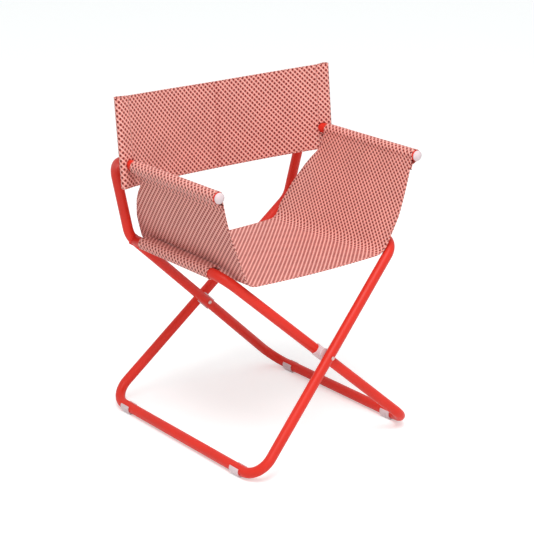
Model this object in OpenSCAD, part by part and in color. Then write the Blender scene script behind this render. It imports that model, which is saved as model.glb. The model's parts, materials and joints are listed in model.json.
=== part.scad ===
// Folding director chair: two bent-tube side frames crossed on one fore-and-aft
// fold axis, with a sewn sling for the seat and arms and a sling for the back.
// The outer frame runs from the right floor runner up to the left seat rail and
// arm, and the inner frame is its mirror image, nested inside it.
// Left and right are those of someone sitting in the chair.
// Origin: on the floor, midway between the sides and between front and back.
// Axes: -Y is the chair's front, +X its left side, +Z up.

/* [Chair] */
// Distance between the floor runners, centre to centre
runner_gap = 492; // [440:1:600]
// Length of the outer frame on the floor, between its corners
base_len = 608; // [500:1:740]
// Height of the fold pivots
pivot_h = 241; // [200:1:290]
// Height of the seat rails' centre line
rail_h = 464; // [410:1:560]
// Height of the arms' centre line
arm_h = 671; // [600:1:810]
// Distance between the arms, centre to centre
arm_gap = 581; // [500:1:700]
// Height of the back sling's top edge
back_h = 831; // [760:1:900]
// Backward lean of the front legs
front_lean = 12.3; // [5:0.1:16]
// Forward lean of the rear legs
rear_lean = 10; // [5:0.1:14]

/* [Tubes] */
// Outside diameter of the frame tubes
tube_d = 25; // [18:0.5:32]
// Wall of the frame tubes
tube_wall = 1.5; // [1:0.1:3]
// Bend radius at the floor and at the seat rails, on the centre line
floor_bend = 50; // [40:1:65]
// Bend radius where a rear leg turns up into its upright
seat_bend = 60; // [40:1:75]
// Bend radius where an upright turns forward into its arm
arm_bend = 45; // [38:1:60]
// Gap between the legs of the two frames, fore and aft
nest_gap = 8; // [6:0.5:14]
// Gap left at each welded seat
weld_gap = 0.2; // [0.1:0.05:0.4]

/* [Arms and back rods] */
// Distance of the arms' rear corners behind the middle of the chair
arm_corner = 200; // [180:1:215]
// Length of an arm tube's centre line from its rear corner to its front end
arm_len = 423; // [360:1:480]
// Diameter of the back rods
rod_d = 12; // [8:0.5:16]
// Distance of the back rods in front of the arms' rear corners
rod_set = 74; // [60:1:100]
// Backward lean of the back rods
rod_lean = 5.8; // [0:0.1:9]
// Length of a back rod below the arm's centre line
rod_drop = 38; // [30:1:60]

/* [Slings] */
// Thickness of the woven cloth
cloth_t = 2; // [1:0.1:3]
// Distance from a seat rail inward to the crease between arm panel and seat
crease_in = 36; // [30:1:45]
// Depth of the seat below the seat rails' centre line
seat_drop = 25; // [20:1:40]
// Sag of the seat between its creases
seat_sag = 2; // [0:1:12]
// Outward bow of the arm panels
arm_bow = 8; // [4:1:22]
// Backward bow of the back sling between the rods
back_bow = 46; // [10:1:60]
// Height of the back sling
back_len = 207; // [170:1:240]
// Length of the sleeves on the seat rails
sleeve_len = 274; // [200:1:300]
// Clearance between a sling and the tube or rod that it hangs on
sleeve_gap = 0.3; // [0.2:0.05:0.6]

/* [Feet, caps and pivots] */
// Thickness of a foot clip under its tube
foot_t = 3; // [2:0.5:5]
// Length of a foot clip
foot_len = 32; // [20:1:45]
// Distance of a foot clip from the corner of its runner
foot_set = 77; // [70:1:110]
// Diameter of the pivot rivets' shanks
rivet_d = 7; // [5:0.5:9]
// Diameter of the pivot rivets' heads
rivet_head_d = 11; // [10.5:0.5:18]
// Radial running clearance of a pivot rivet in its bores
rivet_play = 0.1; // [0.05:0.01:0.1]
// Length of a pivot saddle along its leg
saddle_len = 40; // [30:1:60]
// Wall of a pivot saddle's collar
saddle_wall = 2.5; // [1.5:0.5:4]
// Clearance between a pivot saddle and the leg that turns on it
saddle_play = 0.8; // [0.6:0.1:1.5]
// Height of the domed end of an arm cap
cap_dome = 6; // [3:0.5:9]
// Length of an arm cap's plug inside its tube
cap_plug = 16; // [10:1:30]

/* [Hidden] */
$fn = 48;

paint = [0.86, 0.17, 0.13];
plastic = [0.88, 0.80, 0.81];
steel = [0.62, 0.24, 0.2];
cloth = [0.92, 0.55, 0.5];

// The outer frame is built on side 1 and the inner frame on side -1.
OUTER = 1;
INNER = -1;

tube_r = tube_d / 2;
bore_r = tube_r - tube_wall;
rod_r = rod_d / 2;
rivet_r = rivet_d / 2;
nest = tube_d + nest_gap;
runner_z = foot_t + tube_r;
arm_x = arm_gap / 2;
eps = 0.01;
cut = 2;
lap = 1;
elbow_step = 0.02;
// The thin tips of a rail's coped end are trimmed by this much
cope_trim = 6;

// Slope of the crossed legs in front view: rise over run
leg_slope = (pivot_h - runner_z) / (runner_gap / 2);
rail_x = (rail_h - pivot_h) / leg_slope;
// The uprights' lower corners lie a little above the rails
upright_rise = 11;
upright_h = rail_h + upright_rise;

function half_base(side) = base_len / 2 - (side == OUTER ? 0 : nest);
function leg_x(z) = (z - pivot_h) / leg_slope;
function front_y(side, z) = -half_base(side) + (z - runner_z) * tan(front_lean);
function rear_y(side, z) = half_base(side) - (z - runner_z) * tan(rear_lean);

// Corners of a frame's centre line, from the front end of its arm to the weld
function arm_end(side) = [side * arm_x, arm_corner - arm_len, arm_h];
function arm_rear(side) = [side * arm_x, arm_corner, arm_h];
function upright_foot(side) = [side * leg_x(upright_h), rear_y(side, upright_h), upright_h];
function rear_corner(side) = [-side * runner_gap / 2, half_base(side), runner_z];
function front_corner(side) = [-side * runner_gap / 2, -half_base(side), runner_z];
function rail_corner(side) = [side * rail_x, front_y(side, rail_h), rail_h];
function rail_end(side) = [side * rail_x, rear_y(side, rail_h) - cope_trim, rail_h];

// Vector helpers
function unit(v) = v / norm(v);
function turn(a, b, c) = acos(unit(b - a) * unit(c - b));
// Point on the way from a corner b towards c, where a bend of radius r ends
function past_bend(a, b, c, r) = b + unit(c - b) * r * tan(turn(a, b, c) / 2);

// Turns the children so that their Z axis lies along n and their X axis along x
module orient(n, x) {
  tilt = acos(n[2]);
  spin = atan2(n[1], n[0]);
  ex = [cos(tilt) * cos(spin), cos(tilt) * sin(spin), -sin(tilt)];
  ey = [-sin(spin), cos(spin), 0];
  rotate([0, tilt, spin])
    rotate([0, 0, atan2(x * ey, x * ex)])
      children();
}

// Round bar of radius r from a to b, lengthened by over at each end
module bar(a, b, r, over = 0) {
  u = unit(b - a);
  side = abs(u[2]) < 0.9 ? unit(cross(u, [0, 0, 1])) : unit(cross(u, [0, 1, 0]));
  translate(a - u * over)
    orient(u, side)
      cylinder(r = r, h = norm(b - a) + 2 * over);
}

// Elbow of bar radius r at corner b, bent to radius bend on its centre line
module elbow(a, b, c, bend, r) {
  u = unit(b - a);
  v = unit(c - b);
  angle = turn(a, b, c);
  inward = unit(v - u * (u * v));
  translate(b - u * bend * tan(angle / 2) + inward * bend)
    orient(unit(cross(u, v)), -inward)
      rotate_extrude(angle = angle)
        translate([bend, 0])
          circle(r = r);
}

// Bent round bar through the points p; bends[i] is the radius at p[i + 1]
// Straight lengths lap a little way into the elbows, which are a hair slimmer.
module bent_bar(p, bends, r, over = 0) {
  last = len(p) - 1;
  for (i = [0 : last - 1]) {
    from = i == 0 ? p[0] : past_bend(p[i - 1], p[i], p[i + 1], bends[i - 1]);
    to = i == last - 1 ? p[last] : past_bend(p[i + 2], p[i + 1], p[i], bends[i]);
    start = i == 0 ? over : lap;
    end = i == last - 1 ? over : lap;
    u = unit(p[i + 1] - p[i]);
    if (norm(to - from) > eps || over > 0)
      bar(from - u * start, to + u * end, r);
  }
  for (i = [1 : 1 : last - 1])
    elbow(p[i - 1], p[i], p[i + 1], bends[i - 1], r - elbow_step);
}

module bent_tube(p, bends) {
  difference() {
    bent_bar(p, bends, tube_r);
    bent_bar(p, bends, bore_r, cut);
  }
}

// Points of each length of frame tube, cut where its bends begin
function runner_path(side) = [
  past_bend(rail_corner(side), front_corner(side), rear_corner(side), floor_bend),
  past_bend(upright_foot(side), rear_corner(side), front_corner(side), floor_bend)
];
function front_leg_path(side) = [
  runner_path(side)[0],
  front_corner(side),
  past_bend(rail_end(side), rail_corner(side), front_corner(side), floor_bend)
];
function rail_path(side) = [front_leg_path(side)[2], rail_corner(side), rail_end(side)];
function rear_leg_path(side) = [
  runner_path(side)[1],
  rear_corner(side),
  upright_foot(side),
  past_bend(arm_end(side), arm_rear(side), upright_foot(side), arm_bend)
];
function arm_path(side) = [rear_leg_path(side)[3], arm_rear(side), arm_end(side)];

module floor_runner(side) {
  color(paint)
    difference() {
      bar(runner_path(side)[0], runner_path(side)[1], tube_r);
      bar(runner_path(side)[0], runner_path(side)[1], bore_r, cut);
    }
}

// Bore for a pivot rivet, along the fold axis
module pivot_bore(y) {
  translate([0, y - tube_d, pivot_h])
    rotate([-90, 0, 0])
      cylinder(r = rivet_r + rivet_play, h = 2 * tube_d);
}

module front_leg(side) {
  color(paint)
    difference() {
      bent_tube(front_leg_path(side), [floor_bend]);
      pivot_bore(front_y(side, pivot_h));
    }
}

// The rail's rear end is coped to the rear leg that it is welded to
module seat_rail(side) {
  color(paint)
    difference() {
      bent_tube(rail_path(side), [floor_bend]);
      bent_bar(rear_leg_path(side), [floor_bend, seat_bend], tube_r + weld_gap);
    }
}

module rear_leg(side) {
  color(paint)
    difference() {
      bent_tube(rear_leg_path(side), [floor_bend, seat_bend]);
      pivot_bore(rear_y(side, pivot_h));
    }
}

module arm_tube(side) {
  color(paint)
    bent_tube(arm_path(side), [arm_bend]);
}

// Back rods stand on the outer flanks of the arm tubes
rod_x = arm_x + tube_r + weld_gap + rod_r;
rod_y = arm_corner - rod_set;
rod_top = back_h - arm_h - cloth_t;

// Places the children in a rod's own frame: Z up the rod, origin beside the arm
module at_rod(side) {
  translate([side * rod_x, rod_y, arm_h])
    rotate([-rod_lean, 0, 0])
      children();
}

module back_rod(side) {
  color(steel)
    at_rod(side)
      union() {
        translate([0, 0, -rod_drop])
          cylinder(r = rod_r, h = rod_drop + rod_top - rod_r);
        translate([0, 0, -rod_drop])
          sphere(r = rod_r);
        translate([0, 0, rod_top - rod_r])
          sphere(r = rod_r);
      }
}

// Domed plug in the front end of an arm tube
module arm_cap(side) {
  plug_play = 0.1;
  flange = 2;
  color(plastic)
    translate(arm_end(side))
      rotate([90, 0, 0])
        rotate_extrude()
          difference() {
            union() {
              translate([0, -cap_plug])
                square([bore_r - plug_play, cap_plug + eps]);
              square([tube_r, flange]);
              intersection() {
                translate([0, flange])
                  dome_arc();
                square([tube_r, flange + cap_dome]);
              }
            }
            translate([0, -cap_plug - eps])
              square([bore_r - plug_play - tube_wall, cap_plug - flange]);
          }
}

// Half profile of the cap's dome: an arc through the rim and the crown
module dome_arc() {
  dome_r = (tube_r * tube_r + cap_dome * cap_dome) / (2 * cap_dome);
  translate([0, cap_dome - dome_r])
    circle(r = dome_r);
}

// C-shaped clip round the lower part of a runner, with a flat sole
module foot(side, y) {
  clip_r = tube_r + foot_t;
  sole_w = 16;
  mouth = 58;
  play = 0.05;
  color(plastic)
    translate([-side * runner_gap / 2, y + foot_len / 2, runner_z])
      rotate([90, 0, 0])
        linear_extrude(foot_len)
          difference() {
            union() {
              circle(r = clip_r);
              translate([-sole_w / 2, -clip_r])
                square([sole_w, foot_t]);
            }
            circle(r = tube_r + play);
            polygon([
              [0, 0],
              [2 * clip_r * sin(mouth), 2 * clip_r * cos(mouth)],
              [-2 * clip_r * sin(mouth), 2 * clip_r * cos(mouth)]
            ]);
          }
}

// Direction of a leg, from its floor corner up
function front_dir(side) = unit(rail_corner(side) - front_corner(side));
function rear_dir(side) = unit(upright_foot(side) - rear_corner(side));

// Rivet along the fold axis through both legs. Its flat heads stand just clear
// of the leaning tubes, so that a leg can turn under its head.
module pivot_rivet(y_front, y_rear, dir) {
  head = 2.5;
  head_play = 0.1;
  tilt = asin(abs(dir[1]));
  reach = tube_r / cos(tilt) + rivet_head_d / 2 * tan(tilt) + head_play;
  color(steel)
    translate([0, y_front - reach, pivot_h])
      rotate([-90, 0, 0])
        union() {
          cylinder(r = rivet_r, h = y_rear - y_front + 2 * reach);
          translate([0, 0, -head])
            cylinder(d = rivet_head_d, h = head);
          translate([0, 0, y_rear - y_front + 2 * reach])
            cylinder(d = rivet_head_d, h = head);
        }
}

// Collar round the inner frame's leg with a boss that the outer frame's leg
// turns against. facing is -1 for the front pair of legs and 1 for the rear.
module pivot_saddle(y, dir, facing, lean) {
  seat = 0.1;
  hinge = [0, y, pivot_h];
  boss_len = nest * cos(lean) - tube_r - saddle_play;
  // The boss leans a little less than the legs, half way between open and folded
  boss_lean = lean * 0.85;
  boss_dir = [0, facing * cos(boss_lean), sin(boss_lean)];
  color(plastic)
    difference() {
      union() {
        intersection() {
          bar(hinge - dir * saddle_len / 2, hinge + dir * saddle_len / 2, tube_r + saddle_wall);
          bar(hinge, hinge + boss_dir * boss_len, saddle_len);
        }
        bar(hinge, hinge + boss_dir * boss_len, tube_r);
      }
      bar(hinge - dir * saddle_len, hinge + dir * saddle_len, tube_r + seat);
      pivot_bore(y + facing * tube_r);
    }
}

// Offset outline of a ribbon of thickness t along the 2D points p
function heading(p, i) = unit(p[min(i + 1, len(p) - 1)] - p[max(i - 1, 0)]);
function edge(p, t, s) = [for (i = [0 : len(p) - 1])
  p[i] + s * t / 2 * [-heading(p, i)[1], heading(p, i)[0]]];
function reversed(p) = [for (i = [len(p) - 1 : -1 : 0]) p[i]];

module ribbon(p, t) {
  polygon(concat(edge(p, t, 1), reversed(edge(p, t, -1))));
}

// Half section of the seat sling, seen from the front
sleeve_r = tube_r + sleeve_gap;
crease = [rail_x - crease_in, rail_h - 3];
sleeve_wall = cloth_t * 0.7;
hang_angle = 25;
panel_top = [arm_x, arm_h] - (sleeve_r + sleeve_wall / 2) * [cos(hang_angle), sin(hang_angle)];
seat_edge = [crease[0] - 34, rail_h - seat_drop];
turn_point = [crease[0] - 9, rail_h - seat_drop + 1];
seam_gap = 0.3;
STEPS = 8;
function panel_point(f) = panel_top + (crease - panel_top) * f + [4 * arm_bow * f * (1 - f), 0];
function turn_curve(f) = crease * pow(1 - f, 2) + turn_point * 2 * f * (1 - f) + seat_edge * f * f;
panel_curve = [for (i = [0 : STEPS]) panel_point(i / STEPS)];
fold_curve = [for (i = [0 : STEPS]) turn_curve(i / STEPS)];
// The arm panel ends, and the seat begins, part of the way round the crease
SPLIT = 3;

// Side outline of the seat sling: front edge straight, rear edge sweeping back
// from the arms to the seat
sling_front = arm_corner - arm_len + 5;
sling_rear_top = rod_y - 20;
sling_rear = arm_corner - 5;
sleeve_rear = arm_corner - 52;
module sling_side() {
  reach = arm_gap + 2 * tube_d;
  rotate([90, 0, 90])
    linear_extrude(reach, center = true)
      polygon([
        [sling_front, arm_h + tube_d],
        [sling_front + 5, rail_h - 2 * seat_drop],
        [sling_rear, rail_h - 2 * seat_drop],
        [sling_rear + 4, rail_h],
        [arm_corner - 20, rail_h + (arm_h - rail_h) * 0.3],
        [rod_y - 12, rail_h + (arm_h - rail_h) * 0.7],
        [sling_rear_top, arm_h - tube_r],
        [sling_rear_top, arm_h + tube_d]
      ]);
}

// Extrudes a front-view section along the chair and trims it to the side outline
module sling_part(side) {
  intersection() {
    rotate([90, 0, 0])
      linear_extrude(base_len, center = true)
        mirrored(side)
          children();
    sling_side();
  }
}

module mirrored(side) {
  if (side == OUTER)
    children();
  else
    mirror([1, 0])
      children();
}

// Sleeve round a tube that runs along the chair, from front to rear
module sleeve(side, x, z, front, rear) {
  difference() {
    union() {
      bar([side * x, front, z], [side * x, rear, z], sleeve_r + sleeve_wall);
      children();
    }
    bar([side * x, front, z], [side * x, rear, z], sleeve_r, cut);
  }
}

// Arm sleeve and the panel that hangs from it to the crease
module arm_panel(side) {
  color(cloth)
    sleeve(side, arm_x, arm_h, sling_front, sling_rear_top)
      sling_part(side)
        ribbon(concat(panel_curve, [for (i = [1 : SPLIT]) fold_curve[i]]), cloth_t);
}

module seat_panel(side) {
  centre = [seam_gap / 2, seat_edge[1] - seat_sag];
  first = fold_curve[SPLIT] + heading(fold_curve, SPLIT) * seam_gap;
  color(cloth)
    sling_part(side)
      ribbon(concat([first], [for (i = [SPLIT + 1 : STEPS]) fold_curve[i]], [centre]), cloth_t);
}

// Sleeve round a seat rail, with the web that is sewn to the sling at the crease
module rail_sleeve(side) {
  web_top = crease + [10, 12];
  web_low = crease + [-1, -9];
  web_r = sleeve_r + sleeve_wall / 2;
  color(cloth)
    sleeve(side, rail_x, rail_h, sleeve_rear - sleeve_len, sleeve_rear)
      translate([0, sleeve_rear, 0])
        rotate([90, 0, 0])
          linear_extrude(sleeve_len)
            mirrored(side)
              polygon([web_top, [rail_x, rail_h + web_r], [rail_x, rail_h - web_r], web_low]);
}

// Half of the back sling: a pocket round the rod and a bowed sheet to the seam
module back_panel(side) {
  pocket_r = rod_r + sleeve_gap + cloth_t * 0.6;
  pocket_w = 30;
  seam_x = rod_x - pocket_w + pocket_r;
  bow_r = (seam_x * seam_x + back_bow * back_bow) / (2 * back_bow);
  slot_play = 0.7;
  color(cloth)
    difference() {
      intersection() {
        at_rod(OUTER)
          translate([-rod_x, 0, rod_top + cloth_t - back_len])
            linear_extrude(back_len - 1)
              mirrored(side)
                difference() {
                  union() {
                    intersection() {
                      translate([0, back_bow - bow_r])
                        difference() {
                          circle(r = bow_r + cloth_t / 2);
                          circle(r = bow_r - cloth_t / 2);
                        }
                      translate([seam_gap / 2, -back_bow])
                        square([seam_x, 3 * back_bow]);
                    }
                    translate([rod_x, 0])
                      circle(r = pocket_r);
                    polygon([
                      [seam_x - 4, cloth_t / 2],
                      [seam_x - 4, -cloth_t / 2],
                      [rod_x, -pocket_r],
                      [rod_x, pocket_r]
                    ]);
                  }
                  translate([rod_x, 0])
                    circle(r = rod_r + sleeve_gap);
                }
        translate([-arm_gap, -base_len, arm_h - arm_gap])
          cube([2 * arm_gap, 2 * base_len, back_h - arm_h + arm_gap]);
      }
      // Slot for the arm tube
      translate([side * arm_x, arm_corner, arm_h])
        rotate([90, 0, 0])
          cylinder(r = tube_r + slot_play, h = arm_len);
    }
}

floor_runner(OUTER);  // outer_floor_runner
front_leg(OUTER);  // outer_front_leg
seat_rail(OUTER);  // outer_seat_rail
rear_leg(OUTER);  // outer_rear_leg
arm_tube(OUTER);  // outer_arm_tube
back_rod(OUTER);  // outer_back_rod
arm_cap(OUTER);  // outer_arm_cap
foot(OUTER, foot_set - half_base(OUTER));  // outer_front_foot
foot(OUTER, half_base(OUTER) - foot_set);  // outer_rear_foot
pivot_rivet(front_y(OUTER, pivot_h), front_y(INNER, pivot_h), front_dir(OUTER));  // front_pivot_rivet
pivot_rivet(rear_y(INNER, pivot_h), rear_y(OUTER, pivot_h), rear_dir(OUTER));  // rear_pivot_rivet
arm_panel(OUTER);  // left_arm_panel
rail_sleeve(OUTER);  // left_rail_sleeve
seat_panel(OUTER);  // left_seat_panel
back_panel(OUTER);  // left_back_panel
floor_runner(INNER);  // inner_floor_runner
front_leg(INNER);  // inner_front_leg
seat_rail(INNER);  // inner_seat_rail
rear_leg(INNER);  // inner_rear_leg
arm_tube(INNER);  // inner_arm_tube
back_rod(INNER);  // inner_back_rod
arm_cap(INNER);  // inner_arm_cap
foot(INNER, foot_set - half_base(INNER));  // inner_front_foot
foot(INNER, half_base(INNER) - foot_set);  // inner_rear_foot
pivot_saddle(front_y(INNER, pivot_h), front_dir(INNER), -1, front_lean);  // front_pivot_saddle
pivot_saddle(rear_y(INNER, pivot_h), rear_dir(INNER), 1, rear_lean);  // rear_pivot_saddle
arm_panel(INNER);  // right_arm_panel
rail_sleeve(INNER);  // right_rail_sleeve
seat_panel(INNER);  // right_seat_panel
back_panel(INNER);  // right_back_panel
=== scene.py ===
"""Folding director chair: powder-coated tube frames, moulded trim and woven slings.

Laid out as an add-on and run as a script. Lengths are in metres, in the frame of
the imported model: -Y is the chair's front, +X its left side, +Z up. The outer side
frame carries the left rail and arm, the inner one the right rail and arm.
"""

import json
from math import asin, atan2, cos, pi, radians, sin, tan

import bmesh
import bpy
from bpy.props import FloatProperty, FloatVectorProperty, PointerProperty
from mathutils import Matrix, Vector


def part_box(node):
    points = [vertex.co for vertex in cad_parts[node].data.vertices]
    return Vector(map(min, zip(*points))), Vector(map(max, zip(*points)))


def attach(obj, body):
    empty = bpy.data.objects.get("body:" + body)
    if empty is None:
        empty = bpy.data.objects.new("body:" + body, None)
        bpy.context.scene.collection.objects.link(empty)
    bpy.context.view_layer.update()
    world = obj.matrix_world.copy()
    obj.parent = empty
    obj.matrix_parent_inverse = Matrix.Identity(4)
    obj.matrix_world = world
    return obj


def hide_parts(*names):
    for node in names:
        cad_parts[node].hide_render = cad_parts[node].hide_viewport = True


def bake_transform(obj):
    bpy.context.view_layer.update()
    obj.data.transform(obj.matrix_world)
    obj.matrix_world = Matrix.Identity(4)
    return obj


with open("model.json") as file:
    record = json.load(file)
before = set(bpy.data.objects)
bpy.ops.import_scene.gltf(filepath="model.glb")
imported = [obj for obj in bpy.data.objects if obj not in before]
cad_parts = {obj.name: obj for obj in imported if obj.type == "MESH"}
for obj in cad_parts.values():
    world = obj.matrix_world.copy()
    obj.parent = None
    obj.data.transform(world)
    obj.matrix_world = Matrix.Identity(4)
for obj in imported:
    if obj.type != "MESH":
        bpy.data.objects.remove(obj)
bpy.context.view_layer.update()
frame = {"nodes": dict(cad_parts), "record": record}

bl_info = {
    "name": "Folding Director Chair",
    "version": (1, 0, 0),
    "blender": (4, 5, 0),
    "location": "3D View > Sidebar > Chair",
    "description": "Builds the frame, trim and slings of a folding director chair",
    "category": "Add Mesh",
}

PIVOT = Vector(frame["record"]["behaviour"]["joints"][0]["pos_m"])

# Each side frame: its sign along X at the arm, its body and its name in the CAD nodes
SIDES = ((1, "outer_frame", "outer", "left"), (-1, "inner_frame", "inner", "right"))

RING = 40          # points round a frame tube
PANEL_STEPS = 12   # points down an arm panel
SEAT_STEPS = 8     # points across half the seat, and round its fold
LIFT = 0.62        # a stitch's height above the cloth's middle, as a share of its thickness
BOW = 0.008        # outward bow of the arm panels
BEND_STEPS = 12    # rings in a tube bend


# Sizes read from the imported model

def box_size(node):
    """Size of a CAD node's box along X, Y and Z."""
    low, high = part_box(node)
    return Vector(high) - Vector(low)


def box_centre(node):
    """Middle of a CAD node's box."""
    low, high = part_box(node)
    return (Vector(low) + Vector(high)) / 2


TUBE_R = box_size("outer_floor_runner").z / 2
RUNNER = box_centre("outer_floor_runner")
RUNNER_X = abs(RUNNER.x)
ARM_LOW = Vector(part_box("outer_arm_tube")[0])
RAIL_HIGH = Vector(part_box("outer_seat_rail")[1])
ROD_LOW, ROD_HIGH = (Vector(corner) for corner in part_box("outer_back_rod"))
BACK_LOW, BACK_HIGH = (Vector(corner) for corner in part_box("left_back_panel"))
SLEEVE_LOW, SLEEVE_HIGH = (Vector(corner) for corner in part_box("left_rail_sleeve"))
SEAT_LOW, SEAT_HIGH = (Vector(corner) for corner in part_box("left_seat_panel"))
ROD_R = (ROD_HIGH.x - ROD_LOW.x) / 2
ROD_X = ROD_HIGH.x - ROD_R
RAIL_Z = RAIL_HIGH.z - TUBE_R
NEST = (box_size("outer_floor_runner").y - box_size("inner_floor_runner").y) / 2


class ChairFrameSizes(bpy.types.PropertyGroup):
    """Sizes of the bent side frames and their trim."""

    base_len: FloatProperty(
        name="Base Length", description="Length of the outer frame on the floor, corner to corner",
        default=0.608, unit="LENGTH")
    front_lean: FloatProperty(
        name="Front Lean", description="Backward lean of the front legs",
        default=radians(12.3), subtype="ANGLE")
    rear_lean: FloatProperty(
        name="Rear Lean", description="Forward lean of the rear legs",
        default=radians(10), subtype="ANGLE")
    upright_rise: FloatProperty(
        name="Upright Rise", description="Height of the uprights' lower corners above the rails",
        default=0.011, unit="LENGTH")
    arm_x: FloatProperty(
        name="Arm Offset", description="Distance of each arm from the chair's middle",
        default=0.2905, unit="LENGTH")
    arm_height: FloatProperty(
        name="Arm Height", description="Height of the arms' centre line",
        default=0.671, unit="LENGTH")
    arm_corner: FloatProperty(
        name="Arm Corner", description="Distance of the arms' rear corners behind the middle",
        default=0.2, unit="LENGTH")
    floor_bend: FloatProperty(
        name="Floor Bend", description="Bend radius at the floor and the seat rails",
        default=0.05, unit="LENGTH")
    seat_bend: FloatProperty(
        name="Seat Bend", description="Bend radius where a rear leg turns up into its upright",
        default=0.06, unit="LENGTH")
    arm_bend: FloatProperty(
        name="Arm Bend", description="Bend radius where an upright turns forward into its arm",
        default=0.045, unit="LENGTH")
    rod_lean: FloatProperty(
        name="Rod Lean", description="Backward lean of the back rods",
        default=radians(5.8), subtype="ANGLE")


class ChairSlingSizes(bpy.types.PropertyGroup):
    """Sizes of the woven slings."""

    cloth: FloatProperty(
        name="Cloth", description="Thickness of the woven cloth",
        default=0.0016, unit="LENGTH")
    crease_in: FloatProperty(
        name="Crease Inset", description="Distance from a seat rail inward to the crease",
        default=0.034, unit="LENGTH")
    seat_drop: FloatProperty(
        name="Seat Drop", description="Depth of the seat below the seat rails' centre line",
        default=0.0235, unit="LENGTH")
    seat_sag: FloatProperty(
        name="Seat Sag", description="Further sag of the seat at its middle",
        default=0.004, unit="LENGTH")
    back_bow: FloatProperty(
        name="Back Bow", description="Backward bow of the back sling at its lower edge",
        default=0.050, unit="LENGTH")
    pocket: FloatProperty(
        name="Pocket Width", description="Width of the back sling's rod pockets",
        default=0.031, unit="LENGTH")
    hem: FloatProperty(
        name="Hem", description="Thickness of the rolled edge of the slings",
        default=0.0027, unit="LENGTH")
    weave: FloatProperty(
        name="Weave Repeat", description="Distance between the dots of the weave",
        default=0.0130, unit="LENGTH")
    stitch: FloatProperty(
        name="Stitch", description="Distance between stitches",
        default=0.0058, unit="LENGTH")


class ChairFinish(bpy.types.PropertyGroup):
    """Colours of the finishes."""

    paint: FloatVectorProperty(
        name="Powder Coat", description="Colour of the frame tubes",
        default=(0.74, 0.030, 0.016), size=3, subtype="COLOR", min=0, max=1)
    trim: FloatVectorProperty(
        name="Trim", description="Colour of the caps, clips and saddles",
        default=(0.74, 0.60, 0.62), size=3, subtype="COLOR", min=0, max=1)
    yarn: FloatVectorProperty(
        name="Yarn", description="Colour of the slings' ground yarn",
        default=(0.86, 0.31, 0.26), size=3, subtype="COLOR", min=0, max=1)
    yarn_light: FloatVectorProperty(
        name="Light Yarn", description="Colour of the slings' lightest yarn",
        default=(0.96, 0.54, 0.48), size=3, subtype="COLOR", min=0, max=1)
    yarn_dark: FloatVectorProperty(
        name="Dark Yarn", description="Colour of the dots of the weave",
        default=(0.20, 0.020, 0.017), size=3, subtype="COLOR", min=0, max=1)
    thread: FloatVectorProperty(
        name="Thread", description="Colour of the sewing thread",
        default=(0.42, 0.045, 0.035), size=3, subtype="COLOR", min=0, max=1)


def sizes():
    return bpy.context.scene.chair_frame_sizes


def sling():
    return bpy.context.scene.chair_sling_sizes


def finish():
    return bpy.context.scene.chair_finish


# Centre line of a side frame

def half_base(side):
    return sizes().base_len / 2 - (0 if side > 0 else NEST)


def leg_slope():
    return (PIVOT.z - RUNNER.z) / RUNNER_X


def leg_point(side, z, rear):
    """Point of a leg's centre line at height z."""
    lean = sizes().rear_lean if rear else sizes().front_lean
    y = half_base(side) - (z - RUNNER.z) * tan(lean)
    return Vector((side * (z - PIVOT.z) / leg_slope(), y if rear else -y, z))


def floor_corner(side, rear):
    return leg_point(side, RUNNER.z, rear)


def frame_path(side):
    """Corners of a side frame from the welded end of its rail to the end of its arm."""
    s = sizes()
    arm = Vector((side * s.arm_x, s.arm_corner, s.arm_height))
    return [
        leg_point(side, RAIL_Z, True) - Vector((0, TUBE_R / 2, 0)),
        leg_point(side, RAIL_Z, False),
        floor_corner(side, False),
        floor_corner(side, True),
        leg_point(side, RAIL_Z + s.upright_rise, True),
        arm,
        Vector((arm.x, ARM_LOW.y, arm.z)),
    ]


# Mesh helpers

def new_piece(name, bm, *materials, smooth=True, body=None, slot=None, replaced=()):
    """Makes a bmesh a piece of the chair, and says what it rides on and replaces."""
    mesh = bpy.data.meshes.new(name)
    bm.to_mesh(mesh)
    bm.free()
    for material in materials:
        mesh.materials.append(material)
    if smooth:
        mesh.shade_smooth()
    piece = bpy.data.objects.new(name, mesh)
    bpy.context.scene.collection.objects.link(piece)
    if replaced:
        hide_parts(*replaced)
    if body:
        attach(piece, body)
    return piece


def facing(direction):
    """Rotation that turns +Z to a direction."""
    return direction.to_track_quat("Z", "Y").to_matrix().to_4x4()


def edges_of(items):
    return [item for item in items if isinstance(item, bmesh.types.BMEdge)]


def open_ring(bm, centre, direction, radius, segments):
    """Edges of a new circle square to a direction."""
    made = bmesh.ops.create_circle(
        bm, cap_ends=False, radius=radius, segments=segments,
        matrix=Matrix.Translation(centre) @ facing(direction))
    return list({edge for vert in made["verts"] for edge in vert.link_edges})


def push(bm, edges, step):
    """Extrudes a ring of edges by a step and returns the new ring."""
    made = bmesh.ops.extrude_edge_only(bm, edges=edges)["geom"]
    bmesh.ops.translate(bm, verts=[v for v in made if isinstance(v, bmesh.types.BMVert)], vec=step)
    return edges_of(made)


def middle(edges):
    points = {vert for edge in edges for vert in edge.verts}
    return sum((vert.co for vert in points), Vector()) / len(points)


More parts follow.
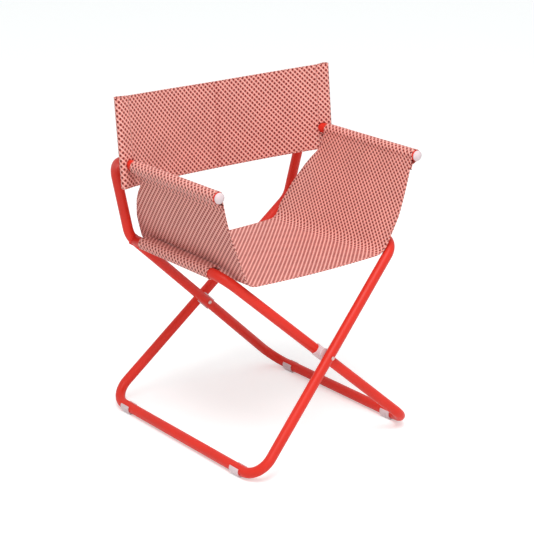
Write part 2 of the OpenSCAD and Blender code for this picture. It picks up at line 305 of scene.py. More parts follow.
def sweep(bm, points, bends, radius, segments=RING):
    """Sweeps a circle along straight lengths and true bends, and closes its ends."""
    heading = (points[1] - points[0]).normalized()
    ring = open_ring(bm, points[0], heading, radius, segments)
    first, here = ring, points[0]
    for corner, after, bend in zip(points[1:-1], points[2:], bends):
        turned = (after - corner).normalized()
        angle = heading.angle(turned)
        inset = bend * tan(angle / 2)
        ring = push(bm, ring, corner - heading * inset - here)
        inward = (turned - heading * heading.dot(turned)).normalized()
        spun = bmesh.ops.spin(
            bm, geom=ring, cent=corner - heading * inset + inward * bend,
            axis=heading.cross(turned).normalized(), dvec=(0, 0, 0), angle=angle,
            steps=BEND_STEPS, use_merge=False, use_duplicate=False)
        ring = edges_of(spun["geom_last"])
        here, heading = corner + turned * inset, turned
        if (middle(ring) - here).length > TUBE_R / 10:
            raise RuntimeError("a tube bend turned the wrong way")
    last = push(bm, ring, points[-1] - here)
    bmesh.ops.holes_fill(bm, edges=first + last, sides=segments)
    bmesh.ops.recalc_face_normals(bm, faces=bm.faces)
    return bm


def lathe(bm, profile, centre, direction, segments=RING):
    """Turns a profile of (radius, height) points round an axis through centre."""
    place = Matrix.Translation(centre) @ facing(direction)
    verts = [bm.verts.new(Vector((r, 0, h))) for r, h in profile]
    edges = [bm.edges.new(pair) for pair in zip(verts, verts[1:])]
    before = set(bm.verts) - set(verts)
    bmesh.ops.spin(
        bm, geom=verts + edges, cent=(0, 0, 0), axis=(0, 0, 1), dvec=(0, 0, 0),
        angle=2 * pi, steps=segments, use_merge=True, use_duplicate=False)
    made = [vert for vert in bm.verts if vert not in before]
    bmesh.ops.remove_doubles(bm, verts=made, dist=1e-6)
    made = [vert for vert in bm.verts if vert not in before]
    bmesh.ops.transform(bm, verts=made, matrix=place)
    bmesh.ops.recalc_face_normals(bm, faces=bm.faces)


# Materials

class Nodes:
    """Short names for building a node material."""

    def __init__(self, name):
        self.material = bpy.data.materials.new(name)
        self.material.use_nodes = True
        self.tree = self.material.node_tree
        self.shader = self.tree.nodes["Principled BSDF"]

    def add(self, kind, **values):
        node = self.tree.nodes.new(kind)
        for key, value in values.items():
            setattr(node, key, value)
        return node

    def link(self, source, target):
        self.tree.links.new(source, target)

    def value(self, operation, *inputs, clamp=False):
        """Math node on sockets and numbers; returns its output."""
        node = self.add("ShaderNodeMath", operation=operation, use_clamp=clamp)
        for socket, item in zip(node.inputs, inputs):
            if isinstance(item, (int, float)):
                socket.default_value = item
            else:
                self.link(item, socket)
        return node.outputs[0]

    def noise(self, vector, scale, detail=2.0, roughness=0.5):
        node = self.add("ShaderNodeTexNoise")
        node.inputs["Scale"].default_value = scale
        node.inputs["Detail"].default_value = detail
        node.inputs["Roughness"].default_value = roughness
        self.link(vector, node.inputs["Vector"])
        return node.outputs["Fac"]

    def smooth_step(self, value, low, high, to_low=0.0, to_high=1.0):
        node = self.add("ShaderNodeMapRange", interpolation_type="SMOOTHSTEP")
        self.link(value, node.inputs["Value"])
        numbers = (low, high, to_low, to_high)
        for key, number in zip(("From Min", "From Max", "To Min", "To Max"), numbers):
            node.inputs[key].default_value = number
        return node.outputs["Result"]

    def mix(self, factor, a, b, blend="MIX"):
        """Colour mix of sockets or colours; returns its output."""
        node = self.add("ShaderNodeMix", data_type="RGBA", blend_type=blend)
        if isinstance(factor, (int, float)):
            node.inputs["Factor"].default_value = factor
        else:
            self.link(factor, node.inputs["Factor"])
        for socket, item in ((node.inputs["A"], a), (node.inputs["B"], b)):
            sockets = [i for i in node.inputs if i.name == socket.name and i.type == "RGBA"]
            if isinstance(item, bpy.types.NodeSocket):
                self.link(item, sockets[0])
            else:
                sockets[0].default_value = (*item, 1)
        return [o for o in node.outputs if o.type == "RGBA"][0]

    def bump(self, height, strength, distance):
        node = self.add("ShaderNodeBump")
        node.inputs["Strength"].default_value = strength
        node.inputs["Distance"].default_value = distance
        self.link(height, node.inputs["Height"])
        self.link(node.outputs["Normal"], self.shader.inputs["Normal"])

    def object_point(self):
        return self.add("ShaderNodeTexCoord").outputs["Object"]

    def set(self, **values):
        for key, value in values.items():
            self.shader.inputs[key.replace("_", " ")].default_value = value


def tinted(colour, factor):
    return tuple(min(1.0, channel * factor) for channel in colour)


def powder_coat():
    """Semi-gloss powder coat: fine orange peel, faint mottling, dulled where it is handled."""
    n = Nodes("powder_coat")
    point = n.object_point()
    colour = tuple(finish().paint)
    mottle = n.noise(point, 9.0, detail=3.0)
    grain = n.noise(point, 900.0, detail=1.0)
    base = n.mix(n.smooth_step(mottle, 0.35, 0.7), tinted(colour, 0.94), tinted(colour, 1.05))
    n.link(base, n.shader.inputs["Base Color"])
    n.link(n.smooth_step(mottle, 0.3, 0.75, 0.36, 0.48), n.shader.inputs["Roughness"])
    n.set(Specular_IOR_Level=0.25)
    n.bump(grain, 0.12, 0.0004)
    return n.material


def moulded_plastic():
    """Pale moulded plastic with a fine spark-eroded grain."""
    n = Nodes("moulded_trim")
    point = n.object_point()
    colour = tuple(finish().trim)
    cloud = n.noise(point, 30.0)
    grain = n.noise(point, 1800.0, detail=1.0)
    base = n.mix(n.smooth_step(cloud, 0.3, 0.7), tinted(colour, 0.96), tinted(colour, 1.04))
    n.link(base, n.shader.inputs["Base Color"])
    n.link(n.smooth_step(grain, 0.3, 0.7, 0.42, 0.55), n.shader.inputs["Roughness"])
    n.bump(grain, 0.15, 0.0003)
    return n.material


def plated_steel():
    """Dull plated steel of the rivets, with faint clouding and a fine grain."""
    n = Nodes("plated_steel")
    point = n.object_point()
    cloud = n.noise(point, 120.0, detail=3.0)
    grain = n.noise(point, 1500.0)
    base = n.mix(n.smooth_step(cloud, 0.35, 0.7), (0.52, 0.34, 0.32), (0.70, 0.52, 0.50))
    n.link(base, n.shader.inputs["Base Color"])
    n.link(n.smooth_step(cloud, 0.3, 0.7, 0.34, 0.5), n.shader.inputs["Roughness"])
    n.set(Metallic=0.85)
    n.bump(grain, 0.2, 0.0003)
    return n.material


def woven_cloth(name, shade=1.0):
    """Coated mesh cloth: diagonal ribs of ground yarn with staggered dark floats."""
    n = Nodes(name)
    repeat = sling().weave
    uv = n.add("ShaderNodeUVMap", uv_map="weave").outputs["UV"]
    split = n.add("ShaderNodeSeparateXYZ")
    n.link(uv, split.inputs[0])
    turn = 2 * pi / repeat
    across = n.value("MULTIPLY", split.outputs["X"], turn)
    along = n.value("MULTIPLY", split.outputs["Y"], turn)
    rise = n.value("ADD", across, along)
    fall = n.value("SUBTRACT", across, along)
    rib_a = n.value("COSINE", rise)
    rib_b = n.value("COSINE", fall)
    # Dark floats sit where both sets of ribs cross, and lean to one side
    lean = n.value("MULTIPLY", n.value("SINE", n.value("MULTIPLY", across, 2.0)), 0.16)
    dots = n.value("ADD", n.value("MULTIPLY", n.value("ADD", rib_a, rib_b), 0.5), lean)
    dark = n.smooth_step(dots, 0.10, 0.42)
    light = n.smooth_step(rib_a, -0.55, -0.98)
    # Single yarns, four to a rib
    yarn_a = n.value("COSINE", n.value("MULTIPLY", rise, 4.0))
    yarn_b = n.value("COSINE", n.value("MULTIPLY", fall, 4.0))
    yarns = n.value("MAXIMUM", yarn_a, yarn_b)
    spun = n.noise(uv, 700.0, detail=2.0)
    patch = n.noise(uv, 14.0, detail=2.0)
    colours = finish()
    ground = n.mix(n.smooth_step(yarns, -0.2, 0.9), tinted(colours.yarn, 0.78 * shade),
                   tinted(colours.yarn, 1.04 * shade))
    ground = n.mix(light, ground, tinted(colours.yarn_light, shade))
    cloth = n.mix(dark, ground, tinted(colours.yarn_dark, shade))
    fibre = n.smooth_step(spun, 0.3, 0.7, 0.90, 1.06)
    tone = n.smooth_step(patch, 0.3, 0.7, 0.96, 1.03)
    worn = n.value("MULTIPLY", fibre, tone)
    grey = n.add("ShaderNodeCombineColor")
    for socket in grey.inputs:
        n.link(worn, socket)
    cloth = n.mix(1.0, cloth, grey.outputs[0], "MULTIPLY")
    n.link(cloth, n.shader.inputs["Base Color"])
    n.set(Roughness=0.72, Specular_IOR_Level=0.3, Sheen_Weight=0.12, Sheen_Roughness=0.4)
    height = n.value("SUBTRACT", n.value("MULTIPLY", yarns, 0.35), n.value("MULTIPLY", dark, 0.9))
    height = n.value("ADD", height, n.value("MULTIPLY", spun, 0.4))
    n.bump(height, 0.55, 0.0006)
    return n.material


def sewing_thread():
    """Twisted thread of the seams."""
    n = Nodes("sewing_thread")
    point = n.object_point()
    twist = n.noise(point, 2500.0)
    colour = tuple(finish().thread)
    base = n.mix(n.smooth_step(twist, 0.3, 0.7), tinted(colour, 0.75), tinted(colour, 1.15))
    n.link(base, n.shader.inputs["Base Color"])
    n.set(Roughness=0.6, Sheen_Weight=0.1)
    n.bump(twist, 0.3, 0.0002)
    return n.material


MATERIALS = {}


def material(name):
    """The finish of that name, made once."""
    makers = {
        "paint": powder_coat, "trim": moulded_plastic, "steel": plated_steel,
        "cloth": lambda: woven_cloth("woven_cloth"),
        "hem": lambda: woven_cloth("woven_hem", 1.04), "thread": sewing_thread,
    }
    if name not in MATERIALS:
        MATERIALS[name] = makers[name]()
    return MATERIALS[name]


# Shapes of the slings

def eased(t):
    """Smooth step from 0 to 1."""
    t = max(0.0, min(1.0, t))
    return t * t * (3 - 2 * t)


def along_line(points, value):
    """The y at a value of x, straight between a rising list of (x, y) points."""
    if value <= points[0][0]:
        return points[0][1]
    for (x0, y0), (x1, y1) in zip(points, points[1:]):
        if value <= x1:
            return y0 + (y1 - y0) * (value - x0) / (x1 - x0)
    return points[-1][1]


class Curve:
    """A line through 2D points, walked by its length."""

    def __init__(self, points):
        self.points = [Vector(point) for point in points]
        self.marks = [0.0]
        for a, b in zip(self.points, self.points[1:]):
            self.marks.append(self.marks[-1] + (b - a).length)
        self.length = self.marks[-1]

    def at(self, distance):
        distance = max(0.0, min(self.length, distance))
        for a, b, start, end in zip(self.points, self.points[1:], self.marks, self.marks[1:]):
            if distance <= end:
                return a.lerp(b, (distance - start) / (end - start))
        return self.points[-1].copy()

    def normal(self, distance):
        step = 0.0015
        along = self.at(distance + step) - self.at(distance - step)
        return Vector((-along.y, along.x)).normalized()


def arc_points(centre, radius, start, end, steps):
    """Points of an arc from one angle to another, in degrees."""
    angles = (radians(start + (end - start) * i / steps) for i in range(steps + 1))
    return [Vector((centre[0] + radius * cos(a), centre[1] + radius * sin(a))) for a in angles]


def trough_half():
    """Front-view section of the seat sling's left half, from its arm seam to the middle."""
    s, c = sizes(), sling()
    arm = Vector((s.arm_x, s.arm_height))
    rail_x = RAIL_HIGH.x - TUBE_R
    wrap_r = TUBE_R + c.cloth * 0.9
    crease = Vector((rail_x - c.crease_in, RAIL_Z - 0.004))
    tuck = arm + Vector((-0.0105, -0.0215))
    seam = [tuck + Vector((-0.0018, -0.012)), tuck]
    loop = arc_points(arm, wrap_r, -62, 205, 22)
    top = loop[-1]
    panel = []
    for i in range(1, PANEL_STEPS + 1):
        f = i / PANEL_STEPS
        panel.append(top.lerp(crease, f) + Vector((4 * BOW * f * (1 - f) * (1.15 - 0.3 * f), 0)))
    fold_reach = 0.034
    seat_x, seat_z = rail_x - c.crease_in - fold_reach, RAIL_Z - c.seat_drop
    turn = Vector((crease.x - 0.008, seat_z + 0.001))
    edge = Vector((seat_x, seat_z))
    fold = []
    for i in range(1, SEAT_STEPS + 1):
        f = i / SEAT_STEPS
        fold.append(crease * (1 - f) ** 2 + turn * 2 * f * (1 - f) + edge * f * f)
    seat = []
    for i in range(1, SEAT_STEPS + 1):
        f = i / SEAT_STEPS
        seat.append(Vector((seat_x * (1 - f), seat_z - c.seat_sag * sin(f * pi / 2))))
    return seam + loop + panel + fold + seat


def trough_section():
    """The whole section, from the left arm's seam across the seat to the right arm's."""
    half = trough_half()
    return Curve(half + [Vector((-p.x, p.y)) for p in reversed(half[:-1])])


# Rear edge of the seat sling: place along Y at each height, from the seat up
REAR_EDGE = ((0.43, 0.190), (0.445, 0.196), (0.466, 0.200), (0.526, 0.180), (0.575, 0.152),
             (0.600, 0.133), (0.616, 0.118), (0.636, 0.108), (0.66, 0.104), (0.70, 0.102))
# Front edge, likewise
FRONT_EDGE = ((0.43, -0.207), (0.445, -0.210), (0.47, -0.213), (0.53, -0.219), (0.60, -0.2175),
              (0.70, -0.2175))


def trough_point(curve, distance, depth, lift=0.0):
    """Point of the seat sling at a distance round its section and a share of its depth."""
    flat = curve.at(distance)
    if lift:
        flat = flat + curve.normal(distance) * lift
    front = along_line(FRONT_EDGE, flat.y)
    rear = along_line(REAR_EDGE, flat.y)
    y = front + (rear - front) * depth
    # The seat falls a little to the rear and hangs deeper in the middle of its depth
    level = 1 - eased((flat.y - 0.437) / 0.02)
    dip = 0.007 * depth + 0.003 * sin(pi * depth)
    return Vector((flat.x, y, flat.y - level * dip))


def back_section():
    """Plan of the back sling's right half turned out flat: rod pocket, then the bowed sheet."""
    c = sling()
    reach = ROD_X - (c.pocket - ROD_R)
    wrap_r = ROD_R + c.cloth
    half = [Vector((reach - 0.006, c.cloth * 1.1)), Vector((reach + 0.001, c.cloth * 1.1))]
    half += arc_points((ROD_X, 0), wrap_r, 104, -104, 14)
    half += [Vector((reach, 0))]
    for i in range(1, 25):
        x = reach * (1 - i / 24)
        half.append(Vector((x, c.back_bow * bowed(x / reach))))
    return Curve(half + [Vector((-p.x, p.y)) for p in reversed(half[:-1])])


def bowed(share):
    """Bow of the back sling at a share of the way from its middle to a pocket."""
    return 1 - abs(share) ** 2.15


def back_place(plan, height):
    """Point of the back sling from its plan and a share of its height."""
    s, c = sizes(), sling()
    length = BACK_HIGH.z - BACK_LOW.z
    seam_x = ROD_X - c.pocket + ROD_R
    depth = max(0.0, 1 - (plan.x / seam_x) ** 2)
    flat_y = plan.y
    if abs(plan.x) < seam_x:
        flat_y = plan.y * (1.0 - 0.16 * height)
    dip = 0.0115 * depth
    z = BACK_HIGH.z - length * (1 - height) - dip
    rod_y = (ROD_LOW.y + ROD_HIGH.y) / 2
    rod_z = (ROD_LOW.z + ROD_HIGH.z) / 2
    lean = (z - rod_z) * tan(s.rod_lean)
    return Vector((plan.x, rod_y + lean + flat_y, z))


def rail_section(side):
    """Front-view section of a rail sleeve: round the seat rail and up to the crease."""
    c = sling()
    rail_x = RAIL_HIGH.x - TUBE_R
    centre = Vector((rail_x, RAIL_Z))
    wrap_r = TUBE_R + c.cloth
    crease = Vector((rail_x - c.crease_in + 0.0105, RAIL_Z + 0.012))
    loop = arc_points(centre, wrap_r, 108, -128, 20)
    loop = [crease] + loop + [crease - Vector((0.001, 0.008))]
    return Curve([Vector((side * p.x, p.y)) for p in loop])


def sheet_mesh(across, depth, place, flat):
    """A cloth sheet from a grid: place(u, v) is its shape, flat(u, v) its flat cloth."""
    bm = bmesh.new()
    bmesh.ops.create_grid(bm, x_segments=across, y_segments=depth, size=0.5)
    weave = bm.loops.layers.uv.new("weave")
    shares = {vert: (vert.co.x + 0.5, vert.co.y + 0.5) for vert in bm.verts}
    for vert, share in shares.items():
        vert.co = place(*share)
    for face in bm.faces:
        for loop in face.loops:
            loop[weave].uv = flat(*shares[loop.vert])
    return bm


def thicken(piece):
    solid = piece.modifiers.new("cloth", "SOLIDIFY")
    solid.thickness = sling().cloth
    solid.offset = 0
    solid.use_quality_normals = True


def bead(bm, points, radius, segments=8):
    """Rolls a round hem along points, with the weave's UV map running round it."""
    weave = bm.loops.layers.uv.get("weave") or bm.loops.layers.uv.new("weave")
    heading = (points[1] - points[0]).normalized()
    ring = open_ring(bm, points[0], heading, radius, segments)
    first, travelled, marks = ring, 0.0, {}
    for vert in {v for edge in ring for v in edge.verts}:
        marks[vert] = 0.0
    for here, there, after in zip(points, points[1:], points[2:] + [points[-1] * 2 - points[-2]]):
        ring = push(bm, ring, there - here)
        verts = list({v for edge in ring for v in edge.verts})
        turned = (after - here).normalized()
        spin = heading.rotation_difference(turned).to_matrix()
        bmesh.ops.rotate(bm, verts=verts, cent=there, matrix=spin)
        heading, travelled = turned, travelled + (there - here).length
        for vert in verts:
            marks[vert] = travelled
    bmesh.ops.holes_fill(bm, edges=first + ring, sides=segments)
    for face in {face for vert in marks for face in vert.link_faces}:
        for i, loop in enumerate(face.loops):
            side = 0.25 if i in (1, 2) else 0.0
            loop[weave].uv = marks[loop.vert] * 1.3, side * sling().weave


def hem_piece(name, place, steps, body=None):
    """Rolls the two edges of a sheet that aren't sewn to anything."""
    bm = bmesh.new()
    for v in (0, 1):
        bead(bm, [place(i / steps, v) for i in range(steps + 1)], sling().hem / 2)
    bmesh.ops.recalc_face_normals(bm, faces=bm.faces)
    return new_piece(name, bm, material("hem"), body=body, slot="sling_cloth")


def stitch_row(bm, spots):
    """Sews a thread stitch between each pair of spots."""
    for start, end in zip(spots[::2], spots[1::2]):
        run = end - start
        place = Matrix.Translation((start + end) / 2) @ facing(run)
        shape = Matrix.Diagonal((0.00075, 0.00055, run.length / 2, 1))
        bmesh.ops.create_icosphere(bm, subdivisions=1, radius=1, matrix=place @ shape)


def stitch_shares(length):
    """Shares of a seam's length at which its stitches start and end."""
    count = int(length / sling().stitch)
    return [(i + half) / count for i in range(count) for half in (0.14, 0.86)]


class ChairOperator:
    """Options that all of the chair's operators share."""

    bl_options = {"REGISTER", "UNDO"}


class CHAIR_OT_frame_tubes(ChairOperator, bpy.types.Operator):
    """Bend each side frame from one tube, from the weld at its rail to the end of its arm"""

    bl_idname = "chair.frame_tubes"
    bl_label = "Frame Tubes"

    def execute(self, context):
        s = sizes()
        bends = (s.floor_bend, s.floor_bend, s.floor_bend, s.seat_bend, s.arm_bend)
        lengths = ("floor_runner", "front_leg", "seat_rail", "rear_leg", "arm_tube")
        for side, body, tag, _hand in SIDES:
            bm = sweep(bmesh.new(), frame_path(side), bends, TUBE_R)
            new_piece(f"{tag}_frame_tube", bm, material("paint"), body=body, slot="frame_paint",
                      replaced=[f"{tag}_{length}" for length in lengths])
        return {"FINISHED"}


class CHAIR_OT_welds(ChairOperator, bpy.types.Operator):
    """Lay the weld bead round the rear end of each seat rail, where it meets the rear leg"""

    bl_idname = "chair.welds"
    bl_label = "Rail Welds"

    def execute(self, context):
        bead_r = 0.0022
        for side, body, tag, _hand in SIDES:
            leg = leg_point(side, RAIL_Z, True)
            tilt = atan2(leg_slope(), side)
            bm = bmesh.new()
            made = bmesh.ops.create_circle(
                bm, cap_ends=False, radius=bead_r, segments=10,
                matrix=Matrix.Translation((TUBE_R, 0, 0)) @ Matrix.Rotation(pi / 2, 4, "X"))
            ring = list({edge for vert in made["verts"] for edge in vert.link_edges})
            bmesh.ops.spin(bm, geom=ring, cent=(0, 0, 0), axis=(0, 0, 1), dvec=(0, 0, 0),
                           angle=2 * pi, steps=48, use_merge=True, use_duplicate=False)
            bmesh.ops.rotate(bm, verts=bm.verts, cent=(0, 0, 0), matrix=Matrix.Rotation(pi / 2, 3, "X"))
            for vert in bm.verts:
                round_rail = atan2(vert.co.z, vert.co.x)
                vert.co.y += TUBE_R * (abs(sin(round_rail - tilt)) - 1)
                ripple = 0.0003 * sin(round_rail * 40)
                vert.co.x *= 1 + ripple / TUBE_R
                vert.co.z *= 1 + ripple / TUBE_R
            bmesh.ops.translate(bm, verts=bm.verts, vec=leg)
            bmesh.ops.recalc_face_normals(bm, faces=bm.faces)
            new_piece(f"{tag}_rail_weld", bm, material("paint"), body=body, slot="frame_paint")
        return {"FINISHED"}


class CHAIR_OT_arm_caps(ChairOperator, bpy.types.Operator):
    """Turn the domed plugs in the front ends of the arms"""

    bl_idname = "chair.arm_caps"
    bl_label = "Arm Caps"

    def execute(self, context):
        low, high = (Vector(corner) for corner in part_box("outer_arm_cap"))
        reach = ARM_LOW.y - low.y
        plug = high.y - ARM_LOW.y
        rim, flange, groove = TUBE_R + 0.0003, 0.0024, 0.0004
        crown = reach - flange
        dome_r = (rim * rim + crown * crown) / (2 * crown)
        spread = asin(rim / dome_r)
        dome = [(dome_r * sin(spread * f), reach - dome_r + dome_r * cos(spread * f))
                for f in (i / 10 for i in range(10))]
        dome[0] = (0, reach)
        profile = dome + [
            (rim - 0.0003, flange + 0.0006), (rim, flange), (rim, flange / 2 + groove),
            (rim - groove, flange / 2), (rim, flange / 2 - groove), (rim, 0.0002),
            (rim - 0.0004, 0), (TUBE_R - 0.0016, 0), (TUBE_R - 0.0018, -plug + 0.001),
            (TUBE_R - 0.003, -plug), (0, -plug)]
        for side, body, tag, _hand in SIDES:
            bm = bmesh.new()
            end = frame_path(side)[-1]
            lathe(bm, profile, end, Vector((0, -1, 0)), 40)
            new_piece(f"{tag}_arm_end_cap", bm, material("trim"), body=body, slot="trim_plastic",
                      replaced=[f"{tag}_arm_cap"])
        return {"FINISHED"}


class CHAIR_OT_foot_clips(ChairOperator, bpy.types.Operator):
    """Snap the C-shaped foot clips, with their flat soles, under the floor runners"""

    bl_idname = "chair.foot_clips"
    bl_label = "Foot Clips"

    def execute(self, context):
        mouth, sole = radians(58), 0.0085
        for _side, body, tag, _hand in SIDES:
            for end in ("front", "rear"):
                node = f"{tag}_{end}_foot"
                low, high = (Vector(corner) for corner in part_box(node))
                x, z, wall = (low.x + high.x) / 2, RUNNER.z, RUNNER.z - TUBE_R
                bm = bmesh.new()
                bmesh.ops.create_grid(bm, x_segments=1, y_segments=1, size=0.5)
                for vert in bm.verts:
                    radius = TUBE_R + 0.0002 + wall * (vert.co.x + 0.5)
                    vert.co = (x + radius * sin(mouth), low.y + (vert.co.y + 0.5) * (high.y - low.y),
                               z + radius * cos(mouth))
                start = list(bm.faces)
                bmesh.ops.spin(
                    bm, geom=start + list(bm.edges) + list(bm.verts), cent=(x, 0, z), axis=(0, 1, 0),
                    dvec=(0, 0, 0), angle=2 * pi - 2 * mouth, steps=40, use_merge=False,
                    use_duplicate=False)
                bmesh.ops.holes_fill(bm, edges=[e for e in bm.edges if e.is_boundary], sides=4)
                for vert in bm.verts:
                    radius = Vector((vert.co.x - x, vert.co.z - z)).length
                    if radius > TUBE_R + wall / 2 and vert.co.z < z and abs(vert.co.x - x) < sole:
                        vert.co.z = 0
                bmesh.ops.recalc_face_normals(bm, faces=bm.faces)
                sharp = [e for e in bm.edges if e.is_manifold and e.calc_face_angle() > radians(40)]
                bmesh.ops.bevel(bm, geom=sharp, offset=0.0007, segments=2, profile=0.5,
                                affect="EDGES", material=-1, clamp_overlap=True)
                new_piece(f"{node}_clip", bm, material("trim"), body=body, slot="trim_plastic",
                          replaced=[node])
        return {"FINISHED"}


class CHAIR_OT_pivots(ChairOperator, bpy.types.Operator):
    """Set the domed pivot rivets and finish the moulded saddles between the crossing legs"""

    bl_idname = "chair.pivots"
    bl_label = "Pivots"

    def execute(self, context):
        head_r, shank_r, dome = 0.0048, 0.0034, 0.0016
        for end in ("front", "rear"):
            low, high = (Vector(corner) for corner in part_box(f"{end}_pivot_rivet"))
            length = high.y - low.y
            seat = 0.0026
            head = [(head_r * sin(pi / 2 * f), dome * (1 - cos(pi / 2 * f)))
                    for f in (i / 6 for i in range(7))]
            far = [(r, length - h) for r, h in reversed(head)]
            profile = head + [(head_r, seat), (shank_r, seat), (shank_r, length - seat),
                              (head_r, length - seat)] + far
            bm = bmesh.new()
            lathe(bm, profile, Vector((PIVOT.x, low.y, PIVOT.z)), Vector((0, 1, 0)), 28)
            new_piece(f"{end}_rivet", bm, material("steel"), body="outer_frame", slot="rivet_steel",
                      replaced=[f"{end}_pivot_rivet"])
            saddle = frame["nodes"][f"{end}_pivot_saddle"]
            saddle.material_slots[0].material = material("trim")
        for _side, _body, tag, _hand in SIDES:
            rod = frame["nodes"][f"{tag}_back_rod"]
            rod.material_slots[0].material = material("paint")
        return {"FINISHED"}


class CHAIR_OT_seat_sling(ChairOperator, bpy.types.Operator):
    """Sew the seat sling: sleeves on both arms, hanging panels and the seat between them"""

    bl_idname = "chair.seat_sling"
    bl_label = "Seat Sling"

    def execute(self, context):
        curve = trough_section()

        def place(u, v):
            return trough_point(curve, u * curve.length, v)

        def flat(u, v):
            point = place(u, v)
            return (u - 0.5) * curve.length, point.y

        bm = sheet_mesh(300, 96, place, flat)
        piece = new_piece(
            "seat_sling", bm, material("cloth"), slot="sling_cloth",
            replaced=["left_arm_panel", "left_seat_panel", "right_seat_panel", "right_arm_panel"])
        thicken(piece)
        hem = hem_piece("seat_sling_hems", place, 260)
        threads = bmesh.new()
        lift = sling().cloth * LIFT
        fold_end = Curve(trough_half()[:-SEAT_STEPS]).length
        middle_s = curve.length / 2
        rows = [middle_s - 0.004, middle_s + 0.004, fold_end - 0.004, fold_end + 0.003,
                curve.length - fold_end + 0.004, curve.length - fold_end - 0.003]
        depth = SEAT_HIGH.y - SEAT_LOW.y
        for row in rows:
            spots = [trough_point(curve, row, v, lift) for v in stitch_shares(depth)]
            stitch_row(threads, spots)
        stitches = new_piece("seat_sling_stitches", threads, material("thread"), slot="sling_cloth")
        for cloth in (piece, hem, stitches):
            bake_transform(cloth)
        return {"FINISHED"}


class CHAIR_OT_rail_sleeves(ChairOperator, bpy.types.Operator):
    """Wrap the sleeves round the seat rails and up towards the sling's creases"""

    bl_idname = "chair.rail_sleeves"
    bl_label = "Rail Sleeves"

    def execute(self, context):
        for side, body, tag, hand in SIDES:
            curve = rail_section(side)
            front, rear = SLEEVE_LOW.y, SLEEVE_HIGH.y

            def place(u, v):
                flat = curve.at(u * curve.length)
                return Vector((flat.x, front + (rear - front) * v, flat.y))

            def flat(u, v):
                return u * curve.length, front + (rear - front) * v

            bm = sheet_mesh(56, 60, place, flat)
            piece = new_piece(f"{hand}_rail_wrap", bm, material("cloth"), body=body,
                              slot="sling_cloth", replaced=[f"{hand}_rail_sleeve"])
            thicken(piece)
            hem = hem_piece(f"{hand}_rail_wrap_hems", place, 44, body)
        return {"FINISHED"}


class CHAIR_OT_back_sling(ChairOperator, bpy.types.Operator):
    """Sew the back sling with its rod pockets and cut the slots that the arms pass through"""

    bl_idname = "chair.back_sling"
    bl_label = "Back Sling"

    def execute(self, context):
        curve = back_section()
        height = BACK_HIGH.z - BACK_LOW.z

        def place(u, v):
            return back_place(curve.at(u * curve.length), v)

        def flat(u, v):
            return (0.5 - u) * curve.length, v * height

        bm = sheet_mesh(200, 60, place, flat)
        slot_r = TUBE_R + 0.0008
        for side in (1, -1):
            arm = Vector((side * sizes().arm_x, sizes().arm_height))

            def off_axis(point):
                return Vector((point.x, point.z)) - arm

            inside = [f for f in bm.faces if off_axis(f.calc_center_median()).length < slot_r]
            bmesh.ops.delete(bm, geom=inside, context="FACES")
            for vert in [v for v in bm.verts if v.is_boundary and off_axis(v.co).length < slot_r * 1.4]:
                out = off_axis(vert.co).normalized() * slot_r
                vert.co.x, vert.co.z = arm.x + out.x, arm.y + out.y
        piece = new_piece("back_sling", bm, material("cloth"), slot="sling_cloth",
                          replaced=["left_back_panel", "right_back_panel"])
        thicken(piece)
        hem = hem_piece("back_sling_hems", place, 220)
        threads = bmesh.new()
        pocket_x = ROD_X - sling().pocket + ROD_R
        off = Vector((0, -sling().cloth * LIFT, 0))
        for x in (-pocket_x - 0.003, -0.004, 0.004, pocket_x + 0.003):
            bow = sling().back_bow * bowed(min(1.0, abs(x) / pocket_x))
            spots = [back_place(Vector((x, bow)), v) + off for v in stitch_shares(height)]
            spots = [spot for spot in spots if abs(spot.z - sizes().arm_height) > 0.018 or abs(x) < 0.1]
            stitch_row(threads, spots)
        stitches = new_piece("back_sling_stitches", threads, material("thread"), slot="sling_cloth")
        for cloth in (piece, hem, stitches):
            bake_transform(cloth)
        return {"FINISHED"}


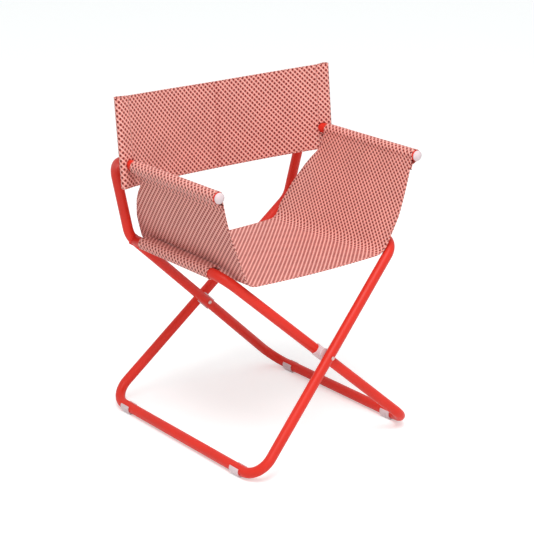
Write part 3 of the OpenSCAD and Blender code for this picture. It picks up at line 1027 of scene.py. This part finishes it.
class CHAIR_OT_stage(ChairOperator, bpy.types.Operator):
    """Set the pale floor, the soft lights and the camera"""

    bl_idname = "chair.stage"
    bl_label = "Studio"

    def execute(self, context):
        self.floor()
        self.world(context)
        self.lamps(context)
        self.camera(context)
        context.scene.view_settings.view_transform = "Standard"
        return {"FINISHED"}

    def floor(self):
        bm = bmesh.new()
        bmesh.ops.create_grid(bm, x_segments=1, y_segments=1, size=9)
        n = Nodes("studio_floor")
        n.set(Base_Color=(0.87, 0.9, 0.9, 1), Roughness=0.9, Specular_IOR_Level=0.1)
        path = n.add("ShaderNodeLightPath").outputs
        seen = n.value("MAXIMUM", path["Is Camera Ray"],
                       n.value("MAXIMUM", path["Is Glossy Ray"], path["Is Transmission Ray"]))
        glow = n.add("ShaderNodeEmission")
        n.link(n.value("MULTIPLY", seen, 0.38), glow.inputs["Strength"])
        both = n.add("ShaderNodeAddShader")
        out = n.tree.nodes["Material Output"]
        n.link(n.shader.outputs[0], both.inputs[0])
        n.link(glow.outputs[0], both.inputs[1])
        n.link(both.outputs[0], out.inputs["Surface"])
        mesh = bpy.data.meshes.new("studio_floor")
        bm.to_mesh(mesh)
        bm.free()
        mesh.materials.append(n.material)
        floor = bpy.data.objects.new("studio_floor", mesh)
        bpy.context.scene.collection.objects.link(floor)

    def world(self, context):
        world = bpy.data.worlds.new("studio_sky")
        world.use_nodes = True
        context.scene.world = world
        tree = world.node_tree
        sky = tree.nodes["Background"]
        sky.inputs["Color"].default_value = (1, 1, 1, 1)
        path = tree.nodes.new("ShaderNodeLightPath").outputs
        seen = path["Is Camera Ray"]
        for kind in ("Is Glossy Ray", "Is Transmission Ray"):
            largest = tree.nodes.new("ShaderNodeMath")
            largest.operation = "MAXIMUM"
            tree.links.new(seen, largest.inputs[0])
            tree.links.new(path[kind], largest.inputs[1])
            seen = largest.outputs[0]
        level = tree.nodes.new("ShaderNodeMapRange")
        tree.links.new(seen, level.inputs["Value"])
        level.inputs["To Min"].default_value = 0.62
        level.inputs["To Max"].default_value = 1.0
        tree.links.new(level.outputs["Result"], sky.inputs["Strength"])

    def lamps(self, context):
        lamps = (
            ("key", (-0.9, -1.5, 4.0), 2.6, 98),
            ("fill", (-1.2, -4.0, 1.6), 2.6, 18),
        )
        aim = Vector((0, 0, 0.4))
        for name, spot, size, power in lamps:
            light = bpy.data.lights.new(f"studio_{name}", "AREA")
            light.shape = "DISK"
            light.size = size
            light.energy = power
            lamp = bpy.data.objects.new(f"studio_{name}", light)
            lamp.location = spot
            lamp.rotation_euler = (aim - Vector(spot)).to_track_quat("-Z", "Y").to_euler()
            context.scene.collection.objects.link(lamp)

    def camera(self, context):
        lens = bpy.data.cameras.new("studio_camera")
        lens.sensor_width = 36
        lens.lens = 114.1
        camera = bpy.data.objects.new("studio_camera", lens)
        camera.location = (-2.3697, -3.0650, 1.7069)
        camera.rotation_euler = (radians(90 - 18.72), 0, radians(-37.88))
        context.scene.collection.objects.link(camera)
        context.scene.camera = camera


class CHAIR_PT_build(bpy.types.Panel):
    """Buttons for the chair's pieces, in the order in which they are made"""

    bl_label = "Director Chair"
    bl_idname = "CHAIR_PT_build"
    bl_space_type = "VIEW_3D"
    bl_region_type = "UI"
    bl_category = "Chair"

    def draw(self, context):
        for maker in MAKERS:
            self.layout.operator(maker.bl_idname)
        for group in ("chair_frame_sizes", "chair_sling_sizes", "chair_finish"):
            box = self.layout.box()
            settings = getattr(context.scene, group)
            for name in settings.bl_rna.properties.keys():
                if name not in ("rna_type", "name"):
                    box.prop(settings, name)


GROUPS = (
    ("chair_frame_sizes", ChairFrameSizes),
    ("chair_sling_sizes", ChairSlingSizes),
    ("chair_finish", ChairFinish),
)
MAKERS = (
    CHAIR_OT_frame_tubes, CHAIR_OT_welds, CHAIR_OT_arm_caps, CHAIR_OT_foot_clips,
    CHAIR_OT_pivots, CHAIR_OT_seat_sling, CHAIR_OT_rail_sleeves, CHAIR_OT_back_sling,
    CHAIR_OT_stage,
)


def register():
    for name, group in GROUPS:
        bpy.utils.register_class(group)
        setattr(bpy.types.Scene, name, PointerProperty(type=group))
    for item in MAKERS + (CHAIR_PT_build,):
        bpy.utils.register_class(item)


def unregister():
    for item in reversed(MAKERS + (CHAIR_PT_build,)):
        bpy.utils.unregister_class(item)
    for name, group in reversed(GROUPS):
        delattr(bpy.types.Scene, name)
        bpy.utils.unregister_class(group)


def main():
    register()
    for maker in MAKERS:
        group, name = maker.bl_idname.split(".")
        getattr(getattr(bpy.ops, group), name)()


if __name__ == "__main__":
    main()
